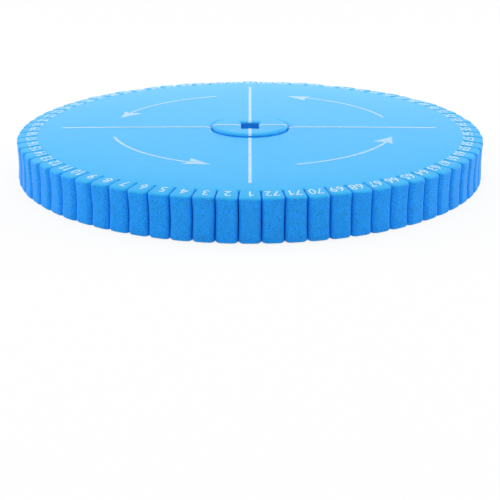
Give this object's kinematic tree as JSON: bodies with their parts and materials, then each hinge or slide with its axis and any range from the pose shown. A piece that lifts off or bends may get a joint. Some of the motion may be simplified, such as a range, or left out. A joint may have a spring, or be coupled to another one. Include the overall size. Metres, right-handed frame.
{
  "type": "kumihimo disk",
  "caption": "Thick round foam braiding disk with thread slots cut in round its rim, and a round center plug with a hole for the braid.",
  "frame": {"origin": "centre of the disk on the plane of its lower face", "axes": "+Z out of the printed upper face along the disk's axis; -Y towards the tooth numbered 1; +X towards the right with tooth 1 nearest the viewer"},
  "size_m": [0.245, 0.245, 0.0247],
  "materials": {
    "blue_foam": "matte",
    "white_ink": "matte"
  },
  "bodies": {
    "root": {"slotted_foam_disk": "blue_foam", "center_plug": "blue_foam"}
  },
  "joints": []
}
